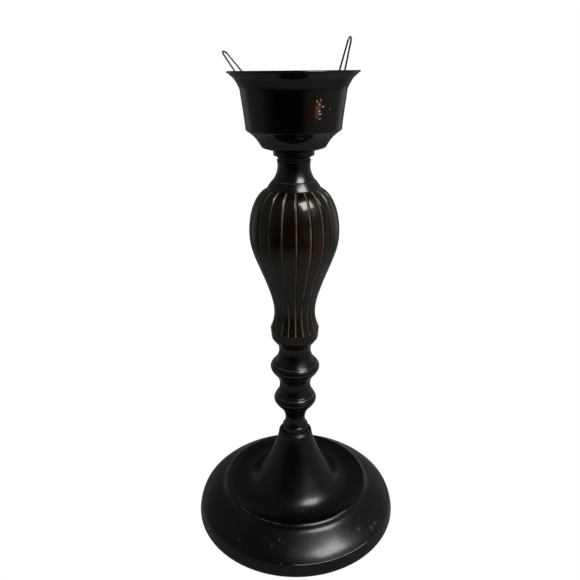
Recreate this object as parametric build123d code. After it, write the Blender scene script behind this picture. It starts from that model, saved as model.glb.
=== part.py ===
from build123d import *
import os
from math import acos, asin, atan2, cos, degrees, hypot, radians, sin, sqrt

# Pillar candlestick, millimetres, +Z up, origin on the floor under the middle of the base.
# Turned and spun pieces are stacked on one tie rod, which a nut under the base and
# a nut on the floor of the cup draw together.
# A share is how far a point lies from the first end of a curve to the last, as radius and
# height, and headings are the angles that a curve starts and ends on, from outwards.

# Sheet and shell thicknesses
base_wall = 1.5
body_wall = 3.2
cup_wall = 1.0

# Base: foot, skirt, dome, sunk cove and bell
foot_radius = 107.5
foot_lip_height = 1.6
foot_flange_width = 8.0
skirt_height = 10.6
skirt_inset = 3.0
skirt_bulge = 0.6
dome_width = 28.8
dome_rise = 21.9
dome_bulge = 0.5
cove_width = 14.2
cove_depth = 4.6
bell_foot_width = 13.0
bell_foot_rise = 4.1
bell_height = 61.4
bell_top_radius = 17.4
bell_shares = [(0.322, 0.186), (0.615, 0.43), (0.828, 0.674), (0.963, 0.886)]
bell_headings = (212, 93)
shoulder_drop = 2.4
stem_seat_depth = 1.4
hub_thickness = 5.0

# Lower stem: foot disc, waist, lower bead, neck, upper bead, throat
stem_foot_radius = 13.4
stem_foot_height = 6.8
stem_waist_radius = 10.5
stem_waist_rise = 7.2
lower_bead_radius = 22.1
lower_bead_rise = 26.2
lower_bead_crown = 6.4
lower_crown_drop = 3.1
lower_flank_shares = [(0.5, 0.62), (0.9, 0.84)]
stem_neck_radius = 15.95
stem_neck_rise = 9.4
upper_bead_radius = 25.1
upper_bead_rise = 22.0
upper_bead_crown = 5.8
upper_crown_drop = 3.8
upper_flank_shares = [(0.41, 0.545), (0.89, 0.82)]
crown_share = (0.6, 0.65)
lower_bead_headings = (125, 122)
upper_bead_headings = (120, 132)
stem_throat_radius = 16.1
stem_throat_rise = 12.3
stem_top_radius = 16.9
stem_top_rise = 6.4
throat_headings = (125, 80)
quirk_width = 0.8
quirk_height = 0.4

# Fluted body
body_foot_radius = 17.2
body_cone_rise = 8.5
band_radius = 23.3
band_height = 10.0
band_top_radius = 24.2
waist_radius = 20.25
waist_rise = 17.0
belly_radius = 42.36
belly_rise = 82.0
flank_shares = [(0.18, 0.27), (0.36, 0.41), (0.72, 0.66), (0.945, 0.85)]
body_headings = (110, 90)
shoulder_width = 21.0
shoulder_height = 41.13
body_top_radius = 24.4
body_floor = 5.0
groove_count = 20
groove_width = 2.6
groove_depth = 1.2
first_groove_angle = -87.1

# Upper neck: collar, throat, lip, cove and flange
collar_radius = 24.8
collar_edge = 0.9
collar_rise = 6.4
collar_top_radius = 20.2
neck_waist_radius = 14.9
neck_waist_rise = 14.2
neck_headings = (128, 70)
lip_radius = 15.6
lip_rise = 4.4
neck_cove_radius = 14.4
flange_radius = 18.5
neck_cove_rise = 3.8
neck_cove_headings = (80, 25)
flange_height = 4.1

# Spigots that centre one piece in the next
spigot_radius = 11.8
spigot_height = 3.4
spigot_clearance = 0.2

# Cup: flat floor, cone, ogee, wall, flare and rim bead
cup_floor_radius = 18.5
cup_cone_radius = 28.5
cup_cone_rise = 3.0
ogee_width = 13.2
ogee_rise = 14.5
ogee_share = (0.45, 0.586)
ogee_headings = (55, 30)
shoulder_step = 0.8
wall_bottom_radius = 42.5
wall_height = 34.5
wall_top_radius = 46.6
wall_share = (0.25, 0.33)
wall_headings = (86, 81)
flare_height = 14.5
flare_share = (0.3, 0.45)
flare_headings = (62, 32)
rim_radius = 57.0
rim_bead_radius = 1.0

# Tie rod and its fasteners
rod_radius = 4.0
rod_end = 3.0
rod_clearance = 0.5
thread_clearance = 0.05
nut_flats = 13.0
nut_height = 6.5
base_washer_radius = 14.0
base_washer_thickness = 2.0
lock_washer_radius = 7.2
lock_washer_thickness = 1.8
lock_washer_split = 1.6
cup_washer_radius = 9.0
cup_washer_thickness = 1.6

# Clip strap across the floor of the cup, and the two wire loops that it carries
strap_thickness = 0.8
strap_width = 10.4
strap_floor_margin = 2.5
strap_bend_radius = 3.0
strap_clearance = 0.15
strap_knee_rise = 3.0
clip_azimuth_angle = -22.0
wire_radius = 0.75
knuckle_clearance = 0.05
knuckle_wrap_angle = 285.0
hinge_depth = 1.5
loop_length = 42.3
loop_foot_half_width = 9.5
loop_tip_radius = 4.3
loop_corner_radius = 2.0
wire_end_gap = 0.4
right_lean_angle = 13.9
rim_clearance = 0.7

# Points that carry each inner line of a shell
inset_steps = 8

# Places worked out from the sizes above
dome_edge_radius = foot_radius - skirt_inset
dome_edge_height = foot_lip_height + skirt_height
ridge_radius = dome_edge_radius - dome_width
ridge_height = dome_edge_height + dome_rise
cove_radius = ridge_radius - cove_width
cove_height = ridge_height - cove_depth
bell_foot_radius = cove_radius - bell_foot_width
bell_foot_height = cove_height + bell_foot_rise
base_height = bell_foot_height + bell_height + shoulder_drop
stem_z = base_height - stem_seat_depth

waist_z = stem_foot_height + stem_waist_rise
lower_bead_z = waist_z + lower_bead_rise
lower_quirk_z = lower_bead_z + lower_bead_crown
stem_neck_z = lower_quirk_z + stem_neck_rise
upper_bead_z = stem_neck_z + upper_bead_rise
upper_quirk_z = upper_bead_z + upper_bead_crown
throat_z = upper_quirk_z + stem_throat_rise
stem_height = throat_z + stem_top_rise
body_z = stem_z + stem_height

band_z = body_cone_rise
groove_foot_z = band_z + band_height
body_waist_z = groove_foot_z + waist_rise
belly_z = body_waist_z + belly_rise
body_top_share = (body_top_radius - belly_radius + shoulder_width) / shoulder_width
body_height = belly_z + shoulder_height * sqrt(1 - body_top_share ** 2)
neck_z = body_z + body_height

collar_top_z = collar_edge + collar_rise
neck_waist_z = collar_top_z + neck_waist_rise
lip_z = neck_waist_z + lip_rise
flange_z = lip_z + neck_cove_rise
neck_height = flange_z + flange_height
cup_z = neck_z + neck_height

cone_z = cup_cone_rise
ogee_z = cone_z + ogee_rise
wall_top_z = ogee_z + wall_height
rim_z = wall_top_z + flare_height
cup_floor_z = cup_z + cup_wall
hinge_z = cup_z + wall_top_z - hinge_depth

base_hub_z = base_height - hub_thickness
base_nut_z = base_hub_z - base_washer_thickness - lock_washer_thickness - nut_height
cup_washer_z = cup_floor_z + strap_thickness
cup_nut_z = cup_washer_z + cup_washer_thickness
rod_hole_radius = rod_radius + rod_clearance
knuckle_bore = wire_radius + knuckle_clearance
strap_corner_radius = wall_bottom_radius - cup_wall - strap_clearance
strap_reach = sqrt(strap_corner_radius ** 2 - (strap_width / 2) ** 2)
hinge_radius = strap_reach - strap_thickness - knuckle_bore

# Angle at which the legs of a loop come to rest beside the rim bead, the outer end of its swing
bead_out = sqrt((rim_radius - rim_bead_radius) ** 2 - loop_foot_half_width ** 2) - hinge_radius
bead_up = cup_z + rim_z - rim_bead_radius - hinge_z
bead_offset = wire_radius + rim_bead_radius + rim_clearance
outer_lean_angle = degrees(atan2(bead_out, bead_up) - asin(bead_offset / hypot(bead_out, bead_up)))


def heading(angle):
    """Direction in the section plane: 0 is outwards, 90 is up, 180 is inwards."""
    return (cos(radians(angle)), sin(radians(angle)))


def flow(points, headings):
    """Smooth curve through the points, with the headings that it starts and ends on."""
    return Spline(*points, tangents=[heading(angle) for angle in headings])


def between(low, high, radius_share, height_share):
    """Point part of the way from one end of a curve to the other, in radius and in height."""
    radius = low[0] + radius_share * (high[0] - low[0])
    return (radius, low[1] + height_share * (high[1] - low[1]))


def turned(outline):
    """Solid of revolution about Z of a closed outline drawn in radius and height."""
    return revolve(make_face(Plane.XZ * outline), axis=Axis.Z)


def ring(outer, inner, height, z):
    """Flat ring that stands on height z."""
    blank = Cylinder(outer, height, align=(Align.CENTER, Align.CENTER, Align.MIN))
    hole = Cylinder(inner, 3 * height)
    return Pos(0, 0, z) * (blank - hole)


def bulged(start, end, bulge):
    """Arc from start to end that stands out from its chord, to the right of travel."""
    run = Vector(end) - Vector(start)
    middle = (Vector(start) + Vector(end)) * 0.5
    side = Vector(run.Y, -run.X).normalized() * bulge
    return ThreePointArc(start, middle + side, end)


def left_normal(edge, place):
    """Unit normal on the left of an edge, at a share of its length."""
    along = edge % place
    return Vector(-along.Y, along.X)


def inset_corner(before, after, wall):
    """Where two inset edges meet, set in from the corner that the edges share."""
    first = left_normal(before, 1)
    second = left_normal(after, 0)
    return (before @ 1) + (first + second) * (wall / (1 + first.dot(second)))


def inset_edge(edge, start, end, wall):
    """Copy of an edge set in by the wall, from one inset corner to the next."""
    if edge.geom_type == GeomType.LINE:
        return Line(start, end)
    if edge.geom_type == GeomType.CIRCLE:
        return ThreePointArc(start, (edge @ 0.5) + left_normal(edge, 0.5) * wall, end)
    shares = [step / inset_steps for step in range(1, inset_steps)]
    middle = [(edge @ share) + left_normal(edge, share) * wall for share in shares]
    return Spline(start, *middle, end, tangents=[edge % 0, edge % 1])


def sheet_section(edges, wall):
    """Section of a sheet of even thickness, whose outer line is a chain of edges."""
    starts = [inset_corner(before, after, wall) for before, after in zip(edges, edges[1:])]
    first = (edges[0] @ 0) + left_normal(edges[0], 0) * wall
    last = (edges[-1] @ 1) + left_normal(edges[-1], 1) * wall
    corners = [first, *starts, last]
    inner = [inset_edge(edge, start, end, wall) for edge, start, end in zip(edges, corners, corners[1:])]
    caps = [Line(edges[0] @ 0, first), Line(edges[-1] @ 1, last)]
    return make_face(Plane.XZ * (Curve() + [*edges, *inner, *caps]))


def shelled(edges, wall):
    """Turned sheet of even thickness, whose outer line is a chain of edges."""
    return revolve(sheet_section(edges, wall), axis=Axis.Z)


def base_outline():
    """Outer line of the base, from the foot to the top of the bell."""
    foot = (foot_radius, 0)
    lip = (foot_radius, foot_lip_height)
    edge = (dome_edge_radius, dome_edge_height)
    ridge = (ridge_radius, ridge_height)
    bell_foot = (bell_foot_radius, bell_foot_height)
    top = (bell_top_radius, bell_foot_height + bell_height)
    stations = [between(bell_foot, top, *shares) for shares in bell_shares]
    bell = flow([ridge, (cove_radius, cove_height), bell_foot, *stations, top], bell_headings)
    return [Line(foot, lip), bulged(lip, edge, skirt_bulge), bulged(edge, ridge, dome_bulge), bell]


def base_shell():
    """Spun base: a thin shell with a turned-in foot flange and a thick hub at the top."""
    shell = shelled(base_outline(), base_wall)
    flange = ring(foot_radius - base_wall / 2, foot_radius - foot_flange_width, base_wall, 0)
    seat_radius = stem_foot_radius + spigot_clearance
    shoulder_z = base_height - shoulder_drop
    hub = turned(Polyline(
        (0, base_hub_z),
        (bell_top_radius - base_wall / 2, base_hub_z),
        (bell_top_radius, shoulder_z),
        (seat_radius + quirk_height, base_height),
        (0, base_height),
        (0, base_hub_z),
    ))
    seat = Pos(0, 0, stem_z) * Cylinder(seat_radius, stem_seat_depth * 2,
                                        align=(Align.CENTER, Align.CENTER, Align.MIN))
    rod_hole = Pos(0, 0, base_height) * Cylinder(rod_hole_radius, 4 * hub_thickness)
    return shell + flange + hub - seat - rod_hole


def lower_stem():
    """Turned stem with two beads, each with a fine quirk over its crown."""
    foot_top = (stem_foot_radius, stem_foot_height - quirk_height)
    collar = (stem_foot_radius - 1.5 * quirk_width, stem_foot_height)
    waist = (stem_waist_radius, waist_z)
    lower_nose = (lower_bead_radius, lower_bead_z)
    lower_crown = (lower_bead_radius - lower_crown_drop, lower_quirk_z)
    lower_flank = [between(waist, lower_nose, *shares) for shares in lower_flank_shares]
    lower_cheek = between(lower_nose, lower_crown, *crown_share)
    neck = (stem_neck_radius, stem_neck_z)
    upper_nose = (upper_bead_radius, upper_bead_z)
    upper_crown = (upper_bead_radius - upper_crown_drop, upper_quirk_z)
    upper_flank = [between(neck, upper_nose, *shares) for shares in upper_flank_shares]
    upper_cheek = between(upper_nose, upper_crown, *crown_share)
    lower_quirk = (lower_crown[0] - quirk_width, lower_quirk_z + quirk_height)
    upper_quirk = (upper_crown[0] - quirk_width, upper_quirk_z + quirk_height)
    spigot_top = stem_height + spigot_height
    outline = (
        Polyline((rod_hole_radius, 0), (stem_foot_radius, 0), foot_top, collar)
        + flow([collar, waist, *lower_flank, lower_nose, lower_cheek, lower_crown], lower_bead_headings)
        + Line(lower_crown, lower_quirk)
        + flow([lower_quirk, neck, *upper_flank, upper_nose, upper_cheek, upper_crown], upper_bead_headings)
        + Line(upper_crown, upper_quirk)
        + flow([upper_quirk, (stem_throat_radius, throat_z), (stem_top_radius, stem_height)], throat_headings)
        + Polyline((stem_top_radius, stem_height), (spigot_radius, stem_height), (spigot_radius, spigot_top),
                   (rod_hole_radius, spigot_top), (rod_hole_radius, 0))
    )
    return Pos(0, 0, stem_z) * turned(outline)


def body_side(inset):
    """Side of the body from the top of the band to the collar, set in by a depth."""
    foot = (band_top_radius - inset, groove_foot_z)
    waist = (waist_radius - inset, body_waist_z)
    belly = (belly_radius - inset, belly_z)
    flank = [between(waist, belly, *shares) for shares in flank_shares]
    width = shoulder_width - inset
    height = shoulder_height - inset
    centre = (belly_radius - shoulder_width, belly_z)
    sweep_angle = degrees(acos((body_top_radius - centre[0]) / width))
    shoulder = EllipticalCenterArc(centre, width, height, start_angle=0, arc_size=sweep_angle)
    return [flow([foot, waist, *flank, belly], body_headings), shoulder]


def groove_cutter():
    """Sharp wedge along the side of the body, as deep as a groove at its root."""
    side = body_side(groove_depth)
    start = side[0] @ 0
    end = side[1] @ 1
    clear = belly_radius + 2 * groove_width
    above = body_height + groove_width
    outer = Polyline(end, (end.X, above), (clear, above), (clear, start.Y), start)
    blade = make_face(Plane.XZ * (Curve() + side + outer))
    return extrude(blade, groove_width / 2, both=True)


def fluted_body():
    """Hollow vase body with narrow grooves from the band to the collar."""
    side = body_side(0)
    foot = Polyline((rod_hole_radius, 0), (body_foot_radius, 0), (band_radius, band_z), side[0] @ 0)
    roof = Polyline(side[1] @ 1, (rod_hole_radius, (side[1] @ 1).Y), (rod_hole_radius, 0))
    blank = turned(Curve() + side + foot + roof)
    hollow_side = body_side(body_wall)
    floor_radius = band_radius - body_wall
    hollow_foot = Polyline((0, body_floor), (body_foot_radius - body_wall, body_floor),
                           (floor_radius, band_z + body_wall), hollow_side[0] @ 0)
    hollow_top = hollow_side[1] @ 1
    hollow_roof = Polyline(hollow_top, (0, hollow_top.Y), (0, body_floor))
    hollow = turned(Curve() + hollow_side + hollow_foot + hollow_roof)
    socket_radius = spigot_radius + spigot_clearance
    sockets = Cylinder(socket_radius, 3 * body_height)
    body = blank - hollow - sockets
    cutter = groove_cutter()
    step = 360 / groove_count
    cutters = [Rot(0, 0, first_groove_angle + step * turn) * cutter for turn in range(groove_count)]
    return Pos(0, 0, body_z) * (body - cutters)


def upper_neck():
    """Turned neck: collar on the body, slim throat, fine lip and the flange under the cup."""
    collar_crown = (collar_top_radius, collar_top_z)
    quirk = (collar_top_radius - quirk_width, collar_top_z + quirk_height)
    lip = (lip_radius, lip_z)
    cove = (neck_cove_radius, lip_z + quirk_height)
    flange = (flange_radius, flange_z)
    outline = (
        Polyline((rod_hole_radius, -spigot_height), (spigot_radius, -spigot_height), (spigot_radius, 0),
                 (collar_radius, 0), (collar_radius, collar_edge))
        + bulged((collar_radius, collar_edge), collar_crown, quirk_height)
        + Line(collar_crown, quirk)
        + flow([quirk, (neck_waist_radius, neck_waist_z), lip], neck_headings)
        + Line(lip, cove)
        + flow([cove, flange], neck_cove_headings)
        + Polyline(flange, (flange_radius, neck_height), (rod_hole_radius, neck_height),
                   (rod_hole_radius, -spigot_height))
    )
    return Pos(0, 0, neck_z) * turned(outline)


def cup_outline():
    """Outer line of the cup, from the rod hole to the rim."""
    centre = (rod_hole_radius, 0)
    floor_edge = (cup_floor_radius, 0)
    cone_edge = (cup_cone_radius, cone_z)
    ogee_end = (cup_cone_radius + ogee_width, ogee_z)
    wall_bottom = (wall_bottom_radius, ogee_z + shoulder_step)
    wall_top = (wall_top_radius, wall_top_z)
    down, out = heading(flare_headings[1])
    rim = (rim_radius - rim_bead_radius * (1 - out), rim_z - rim_bead_radius * (1 + down))
    ogee_middle = between(cone_edge, ogee_end, *ogee_share)
    return [
        Line(centre, floor_edge),
        Line(floor_edge, cone_edge),
        flow([cone_edge, ogee_middle, ogee_end], ogee_headings),
        Line(ogee_end, wall_bottom),
        flow([wall_bottom, between(wall_bottom, wall_top, *wall_share), wall_top], wall_headings),
        flow([wall_top, between(wall_top, rim, *flare_share), rim], flare_headings),
    ]


def cup_shell():
    """Thin spun cup with a rounded bead along its rim."""
    sheet = shelled(cup_outline(), cup_wall)
    bead_centre = (rim_radius - rim_bead_radius, rim_z - rim_bead_radius)
    bead = revolve(Plane.XZ * Pos(*bead_centre) * Circle(rim_bead_radius), axis=Axis.Z)
    return Pos(0, 0, cup_z) * (sheet + bead)


def tie_rod():
    """Rod through the whole stack, a little longer than the two nuts need."""
    bottom = base_nut_z - rod_end
    top = cup_nut_z + nut_height + rod_end
    rod = Cylinder(rod_radius, top - bottom, align=(Align.CENTER, Align.CENTER, Align.MIN))
    rod = chamfer(rod.edges(), rod_radius / 8)
    return Pos(0, 0, bottom) * rod


def hex_nut(z):
    """Hexagon nut with its corners turned off at both faces."""
    corner_radius = nut_flats / sqrt(3)
    blank = extrude(RegularPolygon(corner_radius, 6), nut_height)
    turned_blank = Cylinder(corner_radius, nut_height, align=(Align.CENTER, Align.CENTER, Align.MIN))
    turned_blank = chamfer(turned_blank.edges(), corner_radius - nut_flats / 2)
    nut = (blank & turned_blank) - Cylinder(rod_radius + thread_clearance, 3 * nut_height)
    return Pos(0, 0, z) * nut


def lock_washer(z):
    """Split spring washer."""
    washer = ring(lock_washer_radius, rod_hole_radius, lock_washer_thickness, 0)
    split = Pos(lock_washer_radius, 0, 0) * Box(2 * lock_washer_radius, lock_washer_split, 4 * lock_washer_thickness)
    return Pos(0, 0, z) * (washer - split)


def strap_section():
    """Section of one half of the strap, with its end rolled inwards into a knuckle."""
    wall_face = hinge_radius + knuckle_bore + strap_thickness
    knee = (wall_face, cup_z + ogee_z + strap_knee_rise)
    root = (wall_face, hinge_z)
    run = FilletPolyline(
        (0, cup_floor_z),
        (cup_floor_radius - strap_floor_margin, cup_floor_z),
        knee,
        root,
        radius=strap_bend_radius,
    )
    roll = CenterArc((hinge_radius, hinge_z), knuckle_bore + strap_thickness, 0, knuckle_wrap_angle)
    return sheet_section([*run.edges().sort_by(run), roll], strap_thickness)


def clip_strap():
    """Sheet strap on the cup floor whose two ends rise by the wall and end in knuckles."""
    half = extrude(strap_section(), strap_width / 2, both=True)
    strap = half + Rot(0, 0, 180) * half
    strap = strap - Pos(0, 0, cup_floor_z) * Cylinder(rod_hole_radius, 6 * strap_thickness)
    return Rot(0, 0, clip_azimuth_angle) * strap


def wire_loop():
    """Hairpin of round wire about its own hinge line, whose ends meet inside the knuckle."""
    taper = (loop_foot_half_width - loop_tip_radius) / (loop_length - loop_tip_radius)
    apex = loop_foot_half_width / taper
    path = Plane.YZ * FilletPolyline(
        (wire_end_gap / 2, 0),
        (loop_foot_half_width, 0),
        (0, apex),
        (-loop_foot_half_width, 0),
        (-wire_end_gap / 2, 0),
        radius=[loop_corner_radius, loop_tip_radius, loop_corner_radius],
    )
    section = Plane(origin=path @ 0, z_dir=path % 0) * Circle(wire_radius)
    return sweep(section, path=path)


def wire_clip(azimuth, lean):
    """Wire loop in its knuckle, leaning outwards from upright."""
    return Rot(0, 0, azimuth) * Pos(hinge_radius, 0, hinge_z) * Rot(0, lean, 0) * wire_loop()


pieces = {
    "base_shell": base_shell(),
    "base_washer": ring(base_washer_radius, rod_hole_radius, base_washer_thickness,
                        base_hub_z - base_washer_thickness),
    "base_lock_washer": lock_washer(base_hub_z - base_washer_thickness - lock_washer_thickness),
    "base_nut": hex_nut(base_nut_z),
    "tie_rod": tie_rod(),
    "lower_stem": lower_stem(),
    "fluted_body": fluted_body(),
    "upper_neck": upper_neck(),
    "cup_shell": cup_shell(),
    "clip_strap": clip_strap(),
    "cup_washer": ring(cup_washer_radius, rod_hole_radius, cup_washer_thickness, cup_washer_z),
    "cup_nut": hex_nut(cup_nut_z),
    "wire_clip_right": wire_clip(clip_azimuth_angle, right_lean_angle),
    "wire_clip_left": wire_clip(clip_azimuth_angle + 180, outer_lean_angle),
}

os.makedirs("parts", exist_ok=True)
for name, piece in pieces.items():
    export_step(piece, f"parts/{name}.step")
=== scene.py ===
import math

import bpy
import numpy as np
from mathutils import Matrix, Vector


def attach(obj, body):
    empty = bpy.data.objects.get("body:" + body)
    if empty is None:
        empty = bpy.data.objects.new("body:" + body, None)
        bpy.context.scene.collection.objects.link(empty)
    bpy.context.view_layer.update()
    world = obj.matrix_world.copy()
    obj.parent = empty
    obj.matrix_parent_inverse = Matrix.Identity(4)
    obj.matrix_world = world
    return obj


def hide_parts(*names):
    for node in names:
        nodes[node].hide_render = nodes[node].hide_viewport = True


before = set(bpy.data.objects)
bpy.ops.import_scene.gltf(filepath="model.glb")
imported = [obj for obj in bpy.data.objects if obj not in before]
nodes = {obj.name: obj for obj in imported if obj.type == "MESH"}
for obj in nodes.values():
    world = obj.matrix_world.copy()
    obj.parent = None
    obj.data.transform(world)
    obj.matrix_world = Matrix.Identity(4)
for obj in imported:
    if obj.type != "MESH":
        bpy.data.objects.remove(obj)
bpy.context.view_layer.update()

# Sizes in millimetres and angles in degrees, as in the CAD part
MM = 0.001
GROOVES = 20
GROOVE_ANGLE = -87.1
GROOVE_HALF = 1.25
GROOVE_DEPTH = 1.15
GROOVE_LIP = 0.05
CLIP_AZIMUTH = -22.0
RIGHT_LEAN = 13.9
LEFT_LEAN = 39.96
WIRE_RADIUS = 0.75


# Outlines, in millimetres of radius and height

def heading(angle):
    """Direction in the section: 0 is outwards, 90 is up, 180 is inwards."""
    return np.array((math.cos(math.radians(angle)), math.sin(math.radians(angle))))


def curve(points, start=None, end=None, spacing=0.7):
    """Samples along a smooth curve through the points, with optional headings at its ends."""
    p = np.array(points, float)
    gaps = np.linalg.norm(np.diff(p, axis=0), axis=1)
    count = len(p)
    matrix = np.zeros((count, count))
    right = np.zeros((count, 2))
    for i in range(1, count - 1):
        before, after = gaps[i - 1], gaps[i]
        matrix[i, i - 1:i + 2] = after, 2 * (before + after), before
        right[i] = 3 * (after * (p[i] - p[i - 1]) / before + before * (p[i + 1] - p[i]) / after)
    if start is None:
        matrix[0, :2] = 2, 1
        right[0] = 3 * (p[1] - p[0]) / gaps[0]
    else:
        matrix[0, 0] = 1
        right[0] = heading(start)
    if end is None:
        matrix[-1, -2:] = 1, 2
        right[-1] = 3 * (p[-1] - p[-2]) / gaps[-1]
    else:
        matrix[-1, -1] = 1
        right[-1] = heading(end)
    slopes = np.linalg.solve(matrix, right)
    samples = [p[0]]
    for i, gap in enumerate(gaps):
        steps = max(2, int(math.ceil(gap / spacing)))
        for step in range(1, steps + 1):
            t = step / steps
            a = (1 + 2 * t) * (1 - t) ** 2
            b = t * (1 - t) ** 2 * gap
            c = t * t * (3 - 2 * t)
            d = t * t * (t - 1) * gap
            samples.append(a * p[i] + b * slopes[i] + c * p[i + 1] + d * slopes[i + 1])
    return samples


def straight(*points, spacing=2.0):
    """Samples along straight runs between the points."""
    samples = [np.array(points[0], float)]
    for low, high in zip(points, points[1:]):
        low, high = np.array(low, float), np.array(high, float)
        steps = max(1, int(math.ceil(np.linalg.norm(high - low) / spacing)))
        samples += [low + (high - low) * step / steps for step in range(1, steps + 1)]
    return samples


def trimmed(run, length, at_end):
    """A run with a length cut off one end."""
    run = run[::-1] if at_end else run
    left = length
    for i in range(len(run) - 1):
        gap = np.linalg.norm(run[i + 1] - run[i])
        if gap > left:
            cut = [run[i] + (run[i + 1] - run[i]) * left / gap, *run[i + 1:]]
            return cut[::-1] if at_end else cut
        left -= gap
    return run[-1:]


def joined(runs, softness, steps=5):
    """Runs joined end to end, each corner eased over a short length on both sides."""
    if not hasattr(softness, "__len__"):
        softness = [softness] * (len(runs) - 1)
    whole = list(runs[0])
    for run, soft in zip(runs[1:], softness):
        corner = np.array(run[0], float)
        if soft > 0:
            whole = list(trimmed(whole, soft, True))
            run = trimmed(run, soft, False)
            low, high = whole[-1], run[0]
            for step in range(1, steps):
                t = step / steps
                whole.append((1 - t) ** 2 * low + 2 * t * (1 - t) * corner + t * t * high)
            whole += list(run)
        else:
            whole += list(run[1:])
    return whole


def creased(run, height, depth, half=0.32):
    """Run with a fine line turned into it at a height."""
    return [np.array((q[0] - depth * math.exp(-((q[1] - height) / half) ** 2), q[1])) for q in run]


def inward(run, depth):
    """Line that runs a depth to the left of another, for the inner face of a sheet."""
    p = np.array(run, float)
    along = np.gradient(p, axis=0)
    along /= np.linalg.norm(along, axis=1)[:, None]
    return list(p + np.stack((-along[:, 1], along[:, 0]), axis=1) * depth)


# Meshes

def new_piece(name, verts, faces, body, node):
    """Smooth-shaded mesh object that rides on a body and stands for a node."""
    mesh = bpy.data.meshes.new(name)
    mesh.from_pydata([tuple(v) for v in verts], [], faces)
    mesh.validate()
    piece = bpy.data.objects.new(name, mesh)
    bpy.context.scene.collection.objects.link(piece)
    mesh.polygons.foreach_set("use_smooth", [True] * len(mesh.polygons))
    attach(piece, body)
    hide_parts(node)
    return piece


def grid_faces(rings, columns, closed):
    """Quads of a tube of rings; closed also joins the last ring to the first."""
    faces = []
    for i in range(rings if closed else rings - 1):
        low, high = i * columns, ((i + 1) % rings) * columns
        for j in range(columns):
            k = (j + 1) % columns
            faces.append((low + j, low + k, high + k, high + j))
    return faces


def spun(name, outline, body, node, columns):
    """Closed outline in radius and height, millimetres, turned about Z."""
    p = np.array(outline, float) * MM
    if np.linalg.norm(p[0] - p[-1]) < 1e-7:
        p = p[:-1]
    angles = np.linspace(0, 2 * math.pi, columns, endpoint=False)
    verts = np.zeros((len(p), columns, 3))
    verts[:, :, 0] = p[:, :1] * np.cos(angles)
    verts[:, :, 1] = p[:, :1] * np.sin(angles)
    verts[:, :, 2] = p[:, 1:]
    return new_piece(name, verts.reshape(-1, 3), grid_faces(len(p), columns, True), body, node)


def tube(name, path, radius, body, node, columns):
    """Round wire with flat ends along a path of points in metres."""
    p = np.array(path, float)
    along = np.gradient(p, axis=0)
    along /= np.linalg.norm(along, axis=1)[:, None]
    side = np.cross(along[0], (0.0, 0.0, 1.0))
    verts = []
    for i in range(len(p)):
        side = side - along[i] * np.dot(side, along[i])
        side /= np.linalg.norm(side)
        up = np.cross(along[i], side)
        for j in range(columns):
            a = 2 * math.pi * j / columns
            verts.append(p[i] + radius * (math.cos(a) * side + math.sin(a) * up))
    faces = grid_faces(len(p), columns, False)
    faces.append(tuple(range(columns))[::-1])
    faces.append(tuple(range((len(p) - 1) * columns, len(p) * columns)))
    return new_piece(name, verts, faces, body, node)


# Base: foot flange, skirt, dome, ridge, sunk cove, bell, seat and the hollow under it

BASE_WALL = 1.5
base_skirt = curve([(107.5, 1.6), (106.35, 7.0), (104.5, 12.2)])
base_dome = curve([(104.5, 12.2), (101.6, 15.3), (98.0, 18.3), (94.0, 21.0), (89.0, 24.0), (84.0, 26.8),
                   (80.4, 29.0), (78.4, 31.0), (76.9, 33.2), (75.9, 34.0)])
base_bell = curve([(75.3, 34.1), (61.5, 29.5), (48.5, 33.6), (38.5, 45.0), (29.4, 60.0), (22.8, 75.0),
                   (18.6, 88.0), (17.4, 95.0)], 212, 93, spacing=0.9)
base_top = straight((17.4, 95.0), (14.1, 97.4))
base_seat = straight((13.6, 97.4), (13.6, 96.0), (4.5, 96.0), (4.5, 92.4), (15.6, 92.4))
ridge_top = straight((75.9, 34.0), (75.3, 34.1))
base_foot = straight((107.5, 0.0), (107.5, 1.6))
base_outer = joined([base_foot, base_skirt, base_dome, ridge_top, base_bell, base_top],
                    [0.6, 0.9, 0.2, 0.2, 0.5])
inner_skirt = inward(base_skirt, BASE_WALL)
inner_dome = inward(base_dome, BASE_WALL)
inner_bell = [q for q in inward(base_bell, BASE_WALL)[2:] if q[1] < 92.0]
base_inner = joined([inner_skirt, inner_dome[1:], inner_bell[1:]], 0.0)
base_outline = (
    base_outer
    + straight((14.1, 97.4), (13.6, 97.4))[1:]
    + base_seat[1:]
    + base_inner[::-1]
    + straight((105.9, 1.5), (99.5, 1.5), (99.5, 0.0), (107.5, 0.0))
)
base = spun("base", base_outline, "stand", "base_shell", columns=360)

# Lower stem: foot disc, waist, lower bead, neck, upper bead and throat, with a quirk over each bead

stem_foot = straight((4.5, 96.0), (13.4, 96.0), (13.4, 102.6), (12.7, 102.9), spacing=1.0)
stem_low = curve([(12.7, 102.9), (10.46, 110.0), (12.35, 120.0), (16.3, 126.2), (20.9, 132.0), (22.05, 136.2),
                  (20.3, 140.1), (19.0, 142.5)], 125, 122, spacing=0.25)
stem_low = creased(stem_low, 140.9, 0.30)
stem_high = curve([(18.2, 142.9), (16.5, 148.0), (15.95, 152.0), (17.4, 160.0), (19.7, 164.0), (24.1, 170.0),
                   (25.06, 174.0), (22.9, 178.0), (21.4, 179.8)], 120, 132, spacing=0.25)
stem_high = creased(stem_high, 178.6, 0.30)
stem_throat = curve([(20.6, 180.2), (17.4, 186.0), (16.1, 192.2), (16.9, 198.5)], 125, 80, spacing=0.6)
stem_outline = (
    joined([stem_foot, stem_low], 0.3)
    + joined([straight((19.0, 142.5), (18.2, 142.9), spacing=0.3), stem_high], 0.15)[1:]
    + joined([straight((21.4, 179.8), (20.6, 180.2), spacing=0.3), stem_throat], 0.15)[1:]
    + straight((16.9, 198.5), (4.5, 198.5), (4.5, 96.0), spacing=6.0)[1:]
)
stem = spun("stem", stem_outline, "stand", "lower_stem", columns=240)

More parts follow.
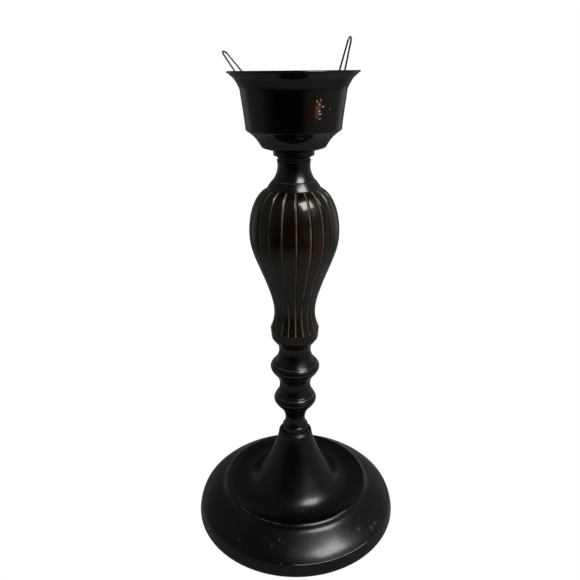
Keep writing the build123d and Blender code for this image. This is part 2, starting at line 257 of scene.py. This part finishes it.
# Upper neck: collar, throat, lip, cove and flange

neck_collar = joined([straight((4.5, 356.7), (24.8, 356.7), (24.8, 357.4)),
                      curve([(24.8, 357.4), (23.0, 360.2), (20.1, 364.0)])], 0.4)
neck_throat = curve([(19.4, 364.4), (17.0, 368.5), (15.2, 374.0), (14.87, 378.2), (15.6, 382.6)], 128, 70,
                    spacing=0.5)
neck_cove = curve([(14.4, 383.0), (15.2, 385.2), (18.5, 386.6)], 80, 25, spacing=0.4)
neck_outline = (
    neck_collar
    + joined([straight((20.1, 364.0), (19.4, 364.4), spacing=0.3), neck_throat,
              straight((15.6, 382.6), (14.4, 383.0), spacing=0.4), neck_cove,
              straight((18.5, 386.6), (18.5, 390.5), spacing=0.6), straight((18.5, 390.5), (4.5, 390.5))],
             [0.1, 0.3, 0.2, 0.5, 0.4])[1:]
    + straight((4.5, 390.5), (4.5, 356.7))[1:]
)
neck = spun("neck", neck_outline, "stand", "upper_neck", columns=240)

# Cup: floor, cone, ogee, wall, flare, rim bead and the inner face

CUP_WALL = 1.0
cup_runs = [
    straight((4.5, 390.5), (18.5, 390.5)),
    straight((18.5, 390.5), (28.5, 393.5), spacing=1.0),
    curve([(28.5, 393.5), (30.15, 396.0), (32.75, 400.0), (36.4, 404.0), (41.7, 408.0)], 55, 30, spacing=0.5),
    straight((41.7, 408.0), (42.5, 408.8)),
    curve([(42.5, 408.8), (43.6, 420.0), (45.9, 438.0), (46.6, 443.3)], 86, 81, spacing=1.0),
    curve([(46.6, 443.3), (48.4, 446.3), (50.65, 450.2), (54.6, 454.0), (55.75, 455.1)], 66, 36, spacing=0.5),
]
cup_outer = joined(cup_runs, [0.8, 0.7, 0.4, 0.4, 2.6])
bead_turn = [np.array((56.0, 456.0)) + heading(a) for a in np.arange(-60, 171, 14)]
cup_inner_runs = [inward(run, CUP_WALL) for run in cup_runs[1:3] + cup_runs[4:]]
cup_inner_runs[0][0] = np.array((18.5, 391.5))
cup_inner_runs.insert(0, straight((4.5, 391.5), (18.5, 391.5)))
cup_inner = joined(cup_inner_runs, 0.0)
cup_outline = cup_outer + bead_turn + cup_inner[::-1] + straight((4.5, 391.5), (4.5, 390.5))[1:]
cup = spun("cup", cup_outline, "stand", "cup_shell", columns=320)

# Fluted body: a turned vase with narrow grooves, whose lower tips are rounded

body_low = joined([straight((4.5, 198.5), (17.2, 198.5), (17.3, 199.0)),
                   curve([(17.3, 199.0), (20.4, 203.0), (23.3, 207.0)], spacing=0.7),
                   curve([(23.3, 207.0), (23.7, 212.0), (24.2, 217.0)], spacing=0.7)], [0.3, 0.9])
body_side = curve([(24.2, 217.0), (21.7, 224.0), (20.25, 234.0), (24.2, 256.0), (28.2, 267.6), (36.2, 288.0),
                   (41.2, 304.0), (42.36, 316.0)], 110, 90, spacing=0.8)
body_shoulder = [np.array((21.36 + 21.0 * math.cos(a), 316.0 + 41.13 * math.sin(a)))
                 for a in np.linspace(0, math.acos(3.04 / 21.0), 60)]
body_roof = straight((24.4, 356.7), (4.5, 356.7))
body_outer = joined([body_low, body_side, body_shoulder[1:], body_roof], [0.5, 0.0, 0.7])


def groove_share(height):
    """How deep the grooves are at a height: they start in rounded tips and fade under the collar."""
    low = min(max((height - 216.6) / 2.6, 0.0), 1.0)
    high = min(max((356.9 - height) / 1.0, 0.0), 1.0)
    return math.sqrt(low * (2 - low)) * high


def body_columns():
    """Azimuths in degrees of the columns of the body, closer together across each groove."""
    pitch = 360 / GROOVES
    offsets = [-0.5, -0.4, -0.3, -0.2, -0.14, -0.1, -0.08, -0.06, -0.045, -0.03, -0.015]
    offsets = offsets + [0.0] + [-o for o in offsets[:0:-1]]
    return [(GROOVE_ANGLE + pitch * (turn + offset), offset * pitch)
            for turn in range(GROOVES) for offset in offsets]


def fluted():
    """Mesh of the body: each ring is pressed in where a groove crosses it."""
    columns = body_columns()
    p = np.array(body_outer, float)
    verts = []
    for radius, height in p:
        share = groove_share(height)
        for azimuth, away in columns:
            across = abs(math.radians(away)) * radius
            half = GROOVE_HALF * min(1.0, 0.55 + 0.45 * radius / 42.0)
            depth = 0.0
            if share > 0 and radius > 19 and across < half * 1.6:
                u = across / half
                lip = GROOVE_LIP * math.exp(-((u - 1.15) / 0.25) ** 2)
                depth = GROOVE_DEPTH * max(0.0, 1 - u ** 1.5) - lip
            r = (radius - share * depth) * MM
            a = math.radians(azimuth)
            verts.append((r * math.cos(a), r * math.sin(a), height * MM))
    faces = grid_faces(len(p), len(columns), True)
    return new_piece("fluted_vase", verts, faces, "stand", "fluted_body")


vase = fluted()


# Wire loops: hairpins about a hinge line, leaning outwards from upright

HINGE_RADIUS = 39.42
HINGE_HEIGHT = 441.0
LOOP_LENGTH = 42.3
LOOP_HALF = 9.5
LOOP_TIP = 4.3


def hairpin(bend=2.0):
    """Path of a loop in its own plane, as (across, up) in millimetres, from end to end."""
    taper = (LOOP_HALF - LOOP_TIP) / (LOOP_LENGTH - LOOP_TIP)
    lean = math.atan(taper)
    tip = LOOP_HALF / taper - LOOP_TIP / math.sin(lean)
    right = [np.array((0.2, 0.0)), np.array((3.0, 0.0)), np.array((5.2, 0.0))]
    slope = math.pi / 2 + lean
    centre = np.array((LOOP_HALF - bend * math.tan(slope / 2), bend))
    right += [centre + bend * np.array((math.sin(a), -math.cos(a))) for a in np.linspace(0, slope, 10)]
    shoulder = np.array((LOOP_TIP * math.cos(lean), tip + LOOP_TIP * math.sin(lean)))
    right += [right[-1] + (shoulder - right[-1]) * t for t in np.linspace(0.04, 0.96, 22)]
    right += [np.array((LOOP_TIP * math.cos(a), tip + LOOP_TIP * math.sin(a)))
              for a in np.linspace(lean, math.pi / 2, 12)]
    return right + [np.array((-q[0], q[1])) for q in right[-2::-1]]


def clip(name, azimuth, lean, body, node):
    """Wire loop at its hinge."""
    a = math.radians(azimuth)
    tilt = math.radians(lean)
    out = Vector((math.cos(a), math.sin(a), 0))
    across = Vector((-math.sin(a), math.cos(a), 0))
    hinge = out * HINGE_RADIUS * MM + Vector((0, 0, HINGE_HEIGHT * MM))
    rise = out * math.sin(tilt) + Vector((0, 0, math.cos(tilt)))
    path = [hinge + across * x * MM + rise * y * MM for x, y in hairpin()]
    return tube(name, path, WIRE_RADIUS * MM, body, node, columns=16)


clip_right = clip("clip_right", CLIP_AZIMUTH, RIGHT_LEAN, "right_clip", "wire_clip_right")
clip_left = clip("clip_left", CLIP_AZIMUTH + 180, LEFT_LEAN, "left_clip", "wire_clip_left")


# Materials

class Shader:
    """A material's node tree, with short calls for the nodes that it uses."""

    def __init__(self, name):
        self.material = bpy.data.materials.new(name)
        self.material.use_nodes = True
        self.tree = self.material.node_tree
        self.bsdf = self.tree.nodes["Principled BSDF"]
        self.place = self.tree.nodes.new("ShaderNodeTexCoord").outputs["Object"]

    def add(self, kind, **values):
        node = self.tree.nodes.new(kind)
        for key, value in values.items():
            setattr(node, key, value)
        return node

    def feed(self, socket, value):
        if isinstance(value, bpy.types.NodeSocket):
            self.tree.links.new(value, socket)
        else:
            socket.default_value = value

    def math(self, operation, a, b=None, c=None):
        """One sum of up to three values."""
        node = self.add("ShaderNodeMath", operation=operation)
        for socket, value in zip(node.inputs, (a, b, c)):
            if value is not None:
                self.feed(socket, value)
        return node.outputs[0]

    def parts(self):
        """X, Y and Z of the place, in metres."""
        node = self.add("ShaderNodeSeparateXYZ")
        self.feed(node.inputs[0], self.place)
        return node.outputs

    def noise(self, scale, detail=2.0, rough=0.5, place=None, warp=0.0):
        node = self.add("ShaderNodeTexNoise")
        self.feed(node.inputs["Vector"], place or self.place)
        node.inputs["Scale"].default_value = scale
        node.inputs["Detail"].default_value = detail
        node.inputs["Roughness"].default_value = rough
        node.inputs["Distortion"].default_value = warp
        return node.outputs["Fac"]

    def stretched(self, scale):
        """The place, scaled along each axis."""
        node = self.add("ShaderNodeMapping")
        self.feed(node.inputs["Vector"], self.place)
        node.inputs["Scale"].default_value = scale
        return node.outputs[0]

    def ramp(self, value, *stops):
        """Value through straight steps of (place, level)."""
        node = self.add("ShaderNodeValToRGB")
        self.feed(node.inputs[0], value)
        elements = node.color_ramp.elements
        while len(elements) < len(stops):
            elements.new(0.5)
        for element, (where, level) in zip(elements, stops):
            element.position = where
            element.color = (level, level, level, 1) if not hasattr(level, "__len__") else (*level, 1)
        return node.outputs["Color"]

    def mix(self, share, low, high):
        """Colour part of the way from low to high."""
        node = self.add("ShaderNodeMix", data_type="RGBA")
        self.feed(node.inputs["Factor"], share)
        for socket, value in ((node.inputs["A"], low), (node.inputs["B"], high)):
            self.feed(socket, (*value, 1) if isinstance(value, tuple) else value)
        return node.outputs["Result"]

    def uneven(self, value, scale, detail, rough, amount):
        """Value moved up and down by noise."""
        swing = self.math("SUBTRACT", self.noise(scale, detail, rough), 0.5)
        return self.math("ADD", value, self.math("MULTIPLY", swing, amount))

    def near(self, spot, reach, ragged, scale):
        """Share that is 1 at a spot and fades out within a reach, both in millimetres, with a ragged edge."""
        node = self.add("ShaderNodeVectorMath", operation="DISTANCE")
        self.feed(node.inputs[0], self.place)
        node.inputs[1].default_value = [v * MM for v in spot]
        away = self.math("MULTIPLY", node.outputs["Value"], 1 / (reach * MM))
        return self.ramp(self.uneven(away, scale, 3.0, 0.5, ragged), (0.45, 1.0), (1.0, 0.0))

    def band(self, value, middle, half, soft):
        """Share that is 1 within half of the middle and fades over a soft edge."""
        away = self.math("ABSOLUTE", self.math("SUBTRACT", value, middle))
        past = self.math("DIVIDE", self.math("SUBTRACT", away, half), soft)
        return self.math("SUBTRACT", 1.0, self.math("MINIMUM", 1.0, self.math("MAXIMUM", 0.0, past)))

    def both(self, *shares):
        """Product of shares."""
        whole = shares[0]
        for share in shares[1:]:
            whole = self.math("MULTIPLY", whole, share)
        return whole

    def largest(self, shares):
        """Greatest of several shares."""
        whole = shares[0]
        for share in shares[1:]:
            whole = self.math("MAXIMUM", whole, share)
        return whole

    def bump(self, height, distance, strength, normal=None):
        node = self.add("ShaderNodeBump")
        node.inputs["Strength"].default_value = strength
        node.inputs["Distance"].default_value = distance
        self.feed(node.inputs["Height"], height)
        if normal is not None:
            self.feed(node.inputs["Normal"], normal)
        return node.outputs[0]

    def finish(self, colour, roughness, normal=None, **constants):
        """The material, with its colour, roughness, normal and constant values set."""
        self.feed(self.bsdf.inputs["Base Color"], colour)
        self.feed(self.bsdf.inputs["Roughness"], roughness)
        if normal is not None:
            self.feed(self.bsdf.inputs["Normal"], normal)
        for name, value in constants.items():
            self.bsdf.inputs[name.replace("_", " ")].default_value = value
        return self.material


def around(s):
    """Azimuth in radians, and radius and height in metres, of the place."""
    x, y, z = s.parts()
    radius = s.math("SQRT", s.math("ADD", s.math("MULTIPLY", x, x), s.math("MULTIPLY", y, y)))
    return s.math("ARCTAN2", y, x), radius, z


OLIVE_GLOSS = (1.0, 1.0, 0.94, 1.0)
BROWN_GLOSS = (1.0, 0.94, 0.82, 1.0)
DUST = (0.06, 0.055, 0.045)
# Pale colour of the base's edge lines: rubbed lacquer and painted highlight.
RUB_AND_GLINT = (0.24, 0.225, 0.20)
SCUFFED = (0.075, 0.070, 0.062)


def lacquer(name, dark, warm, rough, patch=18.0, wear_and_glints=None, **constants):
    """Old satin lacquer over metal: mottled colour, uneven gloss, fine dust and faint bumps."""
    s = Shader(name)
    mottle = s.noise(patch, 4.0, 0.6, warp=0.4)
    colour = s.mix(s.ramp(mottle, (0.38, 0.0), (0.68, 1.0)), dark, warm)
    level = s.ramp(s.noise(34.0, 5.0, 0.62), (0.3, rough[0]), (0.75, rough[1]))
    specks = s.ramp(s.noise(620.0, 1.0, 0.4), (0.745, 0.0), (0.78, 1.0))
    colour = s.mix(s.math("MULTIPLY", specks, 0.2), colour, DUST)
    gloss = s.uneven(level, 160.0, 5.0, 0.65, 0.08)
    peel = s.bump(s.noise(150.0, 2.0, 0.5), 0.00035, 0.08)
    normal = s.bump(s.noise(900.0, 3.0, 0.6), 0.00004, 0.25, peel)
    # Added marks: wear, and on the base and stem also painted highlight lines along edges.
    if wear_and_glints:
        colour, gloss, normal = wear_and_glints(s, colour, gloss, normal)
    return s.finish(colour, gloss, normal, Specular_Tint=OLIVE_GLOSS, **constants)


def base_wear_and_glints(s, colour, gloss, normal):
    """Pale lines on the front of the ridge and the shoulder of the skirt, partly rubbed edges and partly
    painted highlight, and small scuffs on the dome.
    """
    angle, radius, z = around(s)
    broken = s.ramp(s.noise(120.0, 3.0, 0.6), (0.40, 0.0), (0.50, 1.0))
    # Painted highlight on worn edges: pale lines on the ridge and the top of the skirt, only front-right and,
    # fainter and broken, front-left, where the key light glints; partly rubbed lacquer.
    ridge = s.both(s.band(radius, 0.0756, 0.00016, 0.0002), s.math("GREATER_THAN", z, 0.032))
    right = s.band(angle, math.radians(-66), math.radians(17), math.radians(4))
    left = s.both(s.band(angle, math.radians(-118), math.radians(17), math.radians(6)), broken)
    ridge = s.both(ridge, s.math("MAXIMUM", right, s.math("MULTIPLY", left, 0.3)))
    skirt = s.both(s.band(z, 0.0122, 0.00018, 0.0002), s.math("GREATER_THAN", radius, 0.1035),
                   s.band(angle, math.radians(-69), math.radians(19), math.radians(5)))
    rub_and_glint = s.math("MAXIMUM", ridge, skirt)
    colour = s.mix(rub_and_glint, colour, RUB_AND_GLINT)
    spots = (((-57.7, -78.3, 18.5), 1.7), ((-49.1, -85.2, 17.4), 1.2), ((-24.0, -89.5, 21.9), 1.4),
             ((-16.2, -85.8, 26.1), 2.0), ((-12.6, -88.4, 24.6), 1.3), ((-14.0, -103.4, 12.4), 1.3),
             ((63.8, -68.3, 21.4), 2.4), ((49.0, -97.0, 6.5), 1.2), ((78.0, -62.0, 17.0), 3.2),
             ((82.5, -56.0, 17.4), 2.6), ((70.0, 45.0, 27.0), 1.6), ((-80.0, 30.0, 25.0), 1.8),
             ((-30.0, 90.0, 19.5), 1.5), ((20.0, 84.0, 26.5), 1.3))
    scuffs = s.largest([s.near(spot, reach, 1.7, 1100.0) for spot, reach in spots])
    grit = s.ramp(s.noise(1500.0, 2.0, 0.6), (0.48, 0.0), (0.60, 1.0))
    colour = s.mix(s.both(scuffs, grit), colour, SCUFFED)
    gloss = s.math("ADD", gloss, s.math("MULTIPLY", scuffs, 0.2))
    dust = s.both(s.math("LESS_THAN", z, 0.0121), s.ramp(s.noise(45.0, 5.0, 0.65), (0.35, 0.25), (0.7, 1.0)))
    colour = s.mix(s.math("MULTIPLY", dust, 0.5), colour, (0.010, 0.011, 0.0075))
    return colour, gloss, normal


def stem_wear_and_glints(s, colour, gloss, normal):
    """Pale lines beside the turned creases, under the bead rims and on the lips of the collar: partly rubbed
    edges, partly painted highlight.
    """
    _, radius, z = around(s)
    # Painted highlight lines: pale rings all round at the turned edges and just under each bead's rim,
    # standing for the glint these edges catch, partly also rubbed lacquer.
    edges = ((0.1406, 0.018), (0.1783, 0.020), (0.1730, 0.0245), (0.1355, 0.0215), (0.3570, 0.0243),
             (0.3641, 0.0192), (0.3901, 0.018), (0.0972, 0.0120))
    lines = s.largest([s.both(s.band(z, height, 0.00010, 0.00022), s.math("GREATER_THAN", radius, low))
                       for height, low in edges])
    broken = s.ramp(s.noise(60.0, 4.0, 0.6), (0.34, 0.15), (0.58, 1.0))
    colour = s.mix(s.math("MULTIPLY", s.both(lines, broken), 0.8), colour, (0.075, 0.070, 0.058))
    return colour, gloss, normal


def cup_wear(s, colour, gloss, normal):
    """A chip through the lacquer to coppery metal, with pale flecks, and a rubbed rim."""
    angle, _, z = around(s)
    across = s.math("MULTIPLY", s.math("SUBTRACT", angle, math.radians(-62.6)), 0.0447 / MM)
    up = s.math("MULTIPLY", s.math("SUBTRACT", z, 0.4268), 1 / MM)

    def patch(x, y, wide, tall, ragged, scale):
        """Share inside a ragged oval, in millimetres from the middle of the chip."""
        u = s.math("DIVIDE", s.math("SUBTRACT", across, x), wide)
        v = s.math("DIVIDE", s.math("SUBTRACT", up, y), tall)
        away = s.math("SQRT", s.math("ADD", s.math("MULTIPLY", u, u), s.math("MULTIPLY", v, v)))
        return s.ramp(s.uneven(away, scale, 4.0, 0.65, ragged), (0.62, 1.0), (0.86, 0.0))

    chip = patch(-0.9, -0.9, 2.7, 8.2, 2.1, 520.0)
    stain = patch(-0.6, -1.0, 5.5, 12.0, 0.9, 160.0)
    deep = s.ramp(s.noise(700.0, 3.0, 0.6), (0.42, 0.0), (0.60, 1.0))
    copper = s.mix(deep, (0.050, 0.012, 0.005), (0.24, 0.085, 0.036))
    ovals = ((0.5, -0.6, 1.2, 0.9), (1.4, -2.8, 1.8, 0.55), (3.4, 3.0, 1.5, 0.5), (0.3, 5.0, 0.7, 1.0),
             (-2.4, 7.0, 0.45, 1.5), (1.0, 7.8, 0.45, 1.3), (1.4, -6.6, 0.8, 0.4), (11.0, 1.2, 0.45, 0.5))
    flecks = s.largest([patch(*oval, 1.1, 1700.0) for oval in ovals])
    colour = s.mix(s.math("MULTIPLY", stain, 0.35), colour, (0.030, 0.0085, 0.0035))
    colour = s.mix(chip, colour, copper)
    colour = s.mix(flecks, colour, (0.62, 0.48, 0.36))
    bare = s.math("MAXIMUM", chip, flecks)
    gloss = s.math("ADD", gloss, s.math("MULTIPLY", bare, 0.32))
    normal = s.bump(s.math("SUBTRACT", 1.0, bare), 0.0004, 0.6, normal)
    rim = s.both(s.math("GREATER_THAN", z, 0.4566), s.ramp(s.noise(55.0, 4.0, 0.6), (0.35, 0.1), (0.6, 1.0)))
    colour = s.mix(s.math("MULTIPLY", rim, 0.5), colour, (0.045, 0.042, 0.036))
    return colour, gloss, normal


def fluted_lacquer():
    """Brown-black lacquer with mahogany patches, rubbed through to a pale brown along the grooves."""
    s = Shader("body_lacquer")
    angle, radius, z = around(s)
    pitch = math.radians(360 / GROOVES)
    turn = s.math("SUBTRACT", angle, math.radians(GROOVE_ANGLE))
    away = s.math("MULTIPLY", s.math("ABSOLUTE", s.math("WRAP", turn, pitch / 2, -pitch / 2)), radius)
    fluting = s.math("MULTIPLY", s.math("GREATER_THAN", z, 0.2168), s.math("LESS_THAN", z, 0.3568))
    near = s.uneven(away, 70.0, 3.0, 0.6, 0.0008)
    line = s.ramp(s.math("MULTIPLY", near, 0.25 / MM), (0.10, 1.0), (0.22, 0.0))
    worn = s.ramp(s.noise(45.0, 4.0, 0.65), (0.30, 0.25), (0.55, 1.0))
    line = s.both(line, worn, fluting)
    streaks = s.noise(1.0, 4.0, 0.62, s.stretched((70.0, 70.0, 22.0)), 0.3)
    patches = s.ramp(streaks, (0.50, 0.0), (0.66, 1.0))
    height = s.ramp(z, (0.262, 0.0), (0.288, 1.0), (0.318, 1.0), (0.335, 0.1))
    red = s.both(patches, height)
    mottle = s.ramp(s.noise(26.0, 4.0, 0.6), (0.38, 0.0), (0.62, 1.0))
    olive = s.mix(mottle, (0.0016, 0.0010, 0.0004), (0.0085, 0.0062, 0.0026))
    colour = s.mix(red, olive, (0.026, 0.0042, 0.0018))
    hairs = s.ramp(s.noise(1.0, 2.0, 0.5, s.stretched((900.0, 900.0, 9.0))), (0.62, 0.0), (0.72, 1.0))
    colour = s.mix(s.math("MULTIPLY", s.both(hairs, height), 0.35), colour, (0.060, 0.045, 0.034))
    colour = s.mix(line, colour, (0.165, 0.125, 0.100))
    gloss = s.ramp(s.noise(34.0, 5.0, 0.62), (0.3, 0.09), (0.75, 0.19))
    gloss = s.math("ADD", gloss, s.math("MULTIPLY", line, 0.25))
    grain = s.bump(s.noise(1.0, 3.0, 0.6, s.stretched((420.0, 420.0, 60.0))), 0.00008, 0.22)
    return s.finish(colour, gloss, grain, Specular_Tint=BROWN_GLOSS)


def paint(piece, material):
    """Give a piece one material."""
    piece.data.materials.clear()
    piece.data.materials.append(material)


base_lacquer = lacquer("base_lacquer", (0.0004, 0.0005, 0.0003), (0.0015, 0.0016, 0.0010), (0.24, 0.34),
                       wear_and_glints=base_wear_and_glints, Specular_IOR_Level=0.34, Coat_Weight=0.14, Coat_Roughness=0.16)
stem_lacquer = lacquer("stem_lacquer", (0.0006, 0.0008, 0.0004), (0.0024, 0.0027, 0.0015), (0.15, 0.24), 24.0,
                       stem_wear_and_glints)
cup_lacquer = lacquer("cup_lacquer", (0.0002, 0.0002, 0.0001), (0.0007, 0.0006, 0.0004), (0.10, 0.17),
                      wear_and_glints=cup_wear)
body_lacquer = fluted_lacquer()
steel = lacquer("dull_steel", (0.10, 0.095, 0.085), (0.17, 0.155, 0.13), (0.35, 0.5), Metallic=0.9)
wire_steel = lacquer("wire_steel", (0.055, 0.048, 0.040), (0.12, 0.10, 0.075), (0.28, 0.42), 90.0,
                     Metallic=0.8)
paint(base, base_lacquer)
paint(stem, stem_lacquer)
paint(neck, stem_lacquer)
paint(cup, cup_lacquer)
paint(vase, body_lacquer)
paint(clip_right, wire_steel)
paint(clip_left, wire_steel)
for name in ("base_washer", "base_lock_washer", "base_nut", "tie_rod", "cup_washer", "cup_nut"):
    paint(nodes[name], steel)
paint(nodes["clip_strap"], wire_steel)


# Floor, light and camera, in metres

FLOOR_RADIUS = 0.8
FLOOR_DROP = 0.0002
FOCAL_PIXELS = 562.2
PICTURE_PIXELS = 580
SENSOR = 36.0


def floor():
    """Round pale table top that fades out at its edge; the camera sees it evenly lit."""
    mesh = bpy.data.meshes.new("floor")
    turns = np.linspace(0, 2 * math.pi, 96, endpoint=False)
    rim = [(FLOOR_RADIUS * math.cos(a), FLOOR_RADIUS * math.sin(a), 0) for a in turns]
    mesh.from_pydata(rim, [], [tuple(range(len(rim)))])
    top = bpy.data.objects.new("floor", mesh)
    bpy.context.scene.collection.objects.link(top)
    s = Shader("pale_floor")
    tone = s.mix(s.noise(3.0, 2.0), (0.27, 0.27, 0.265), (0.30, 0.30, 0.295))
    mesh.materials.append(s.finish(tone, 0.9, Specular_IOR_Level=0.1))
    edge = s.add("ShaderNodeMixShader")
    s.feed(edge.inputs["Fac"], s.ramp(around(s)[1], (0.30, 0.0), (0.78, 1.0)))
    s.feed(edge.inputs[1], s.bsdf.outputs[0])
    s.feed(edge.inputs[2], s.add("ShaderNodeBsdfTransparent").outputs[0])
    even = s.add("ShaderNodeEmission")
    choose = s.add("ShaderNodeMixShader")
    s.feed(choose.inputs["Fac"], s.add("ShaderNodeLightPath").outputs["Is Camera Ray"])
    s.feed(choose.inputs[1], edge.outputs[0])
    s.feed(choose.inputs[2], even.outputs[0])
    s.feed(s.tree.nodes["Material Output"].inputs["Surface"], choose.outputs[0])
    top.location.z = -FLOOR_DROP


def panel(name, place, target, width, height, power, colour):
    """Soft rectangular light that faces a target."""
    light = bpy.data.lights.new(name, "AREA")
    light.shape = "RECTANGLE"
    light.size = width
    light.size_y = height
    light.energy = power
    light.color = colour
    lamp = bpy.data.objects.new(name, light)
    lamp.location = place
    lamp.rotation_mode = "QUATERNION"
    lamp.rotation_quaternion = (Vector(target) - Vector(place)).to_track_quat("-Z", "Y")
    bpy.context.scene.collection.objects.link(lamp)


def polar(azimuth, elevation, distance, centre):
    """Place at an azimuth to the right of the camera's side, an elevation and a distance."""
    a, e = math.radians(azimuth), math.radians(elevation)
    way = Vector((math.sin(a) * math.cos(e), -math.cos(a) * math.cos(e), math.sin(e)))
    return Vector(centre) + distance * way


bpy.context.scene.view_settings.view_transform = "Standard"
floor()
middle = (0, 0, 0.30)
panel("key", polar(47, 49, 2.4, middle), middle, 1.20, 0.94, 50.0, (1.0, 1.0, 1.04))


def lobe(tree, way, azimuth, elevation, inner, outer):
    """Share that is 1 within an angle of a direction and eases to 0 at a wider one."""
    dot = tree.nodes.new("ShaderNodeVectorMath")
    dot.operation = "DOT_PRODUCT"
    tree.links.new(way, dot.inputs[0])
    dot.inputs[1].default_value = polar(azimuth, elevation, 1.0, (0, 0, 0))
    ease = tree.nodes.new("ShaderNodeMapRange")
    ease.interpolation_type = "SMOOTHSTEP"
    tree.links.new(dot.outputs["Value"], ease.inputs["Value"])
    ease.inputs["From Min"].default_value = math.cos(math.radians(outer))
    ease.inputs["From Max"].default_value = math.cos(math.radians(inner))
    return ease.outputs["Result"]


def blended(tree, share, low, high, kind):
    """Colour between two, or their sum, by a share."""
    node = tree.nodes.new("ShaderNodeMix")
    node.data_type = "RGBA"
    node.blend_type = kind
    tree.links.new(share, node.inputs["Factor"])
    for socket, value in ((node.inputs["A"], low), (node.inputs["B"], high)):
        if isinstance(value, tuple):
            socket.default_value = (*value, 1)
        else:
            tree.links.new(value, socket)
    return node.outputs["Result"]


def studio():
    """Dim grey room, darker on the camera's side and lighter to the right, with a white backdrop."""
    world = bpy.data.worlds.new("studio")
    bpy.context.scene.world = world
    world.use_nodes = True
    tree = world.node_tree
    way = tree.nodes.new("ShaderNodeTexCoord").outputs["Generated"]
    front = lobe(tree, way, -8, -22, 18, 75)
    grey = blended(tree, front, (0.105, 0.105, 0.098), (0.014, 0.014, 0.013), "MIX")
    glows = ((68, 4, 10, 60, (0.13, 0.125, 0.112)), (122, 20, 8, 42, (0.10, 0.10, 0.096)),
             (36, -14, 3, 22, (0.07, 0.02, 0.004)), (-92, 8, 8, 55, (0.06, 0.058, 0.046)),
             (50, 42, 8, 30, (0.7, 0.7, 0.7)), (134, -4, 4, 20, (0.20, 0.20, 0.195)),
             (-134, -4, 4, 20, (0.16, 0.16, 0.155)))
    for azimuth, elevation, inner, outer, tone in glows:
        grey = blended(tree, lobe(tree, way, azimuth, elevation, inner, outer), grey, tone, "ADD")
    room = tree.nodes["Background"]
    tree.links.new(grey, room.inputs["Color"])
    white = tree.nodes.new("ShaderNodeBackground")
    white.inputs["Color"].default_value = (1, 1, 1, 1)
    choose = tree.nodes.new("ShaderNodeMixShader")
    tree.links.new(tree.nodes.new("ShaderNodeLightPath").outputs["Is Camera Ray"], choose.inputs["Fac"])
    tree.links.new(room.outputs[0], choose.inputs[1])
    tree.links.new(white.outputs[0], choose.inputs[2])
    tree.links.new(choose.outputs[0], tree.nodes["World Output"].inputs["Surface"])


studio()

camera_data = bpy.data.cameras.new("camera")
camera_data.sensor_width = SENSOR
camera_data.lens = FOCAL_PIXELS / PICTURE_PIXELS * SENSOR
camera = bpy.data.objects.new("camera", camera_data)
camera.location = (0, -0.51335, 0.457)
turn = Matrix.Rotation(math.radians(0.50), 4, "Z") @ Matrix.Rotation(math.radians(68.67), 4, "X")
camera.rotation_mode = "QUATERNION"
camera.rotation_quaternion = (turn @ Matrix.Rotation(math.radians(-0.48), 4, "Z")).to_quaternion()
camera_data.clip_start = 0.01
camera_data.clip_end = 50.0
bpy.context.scene.collection.objects.link(camera)
bpy.context.scene.camera = camera
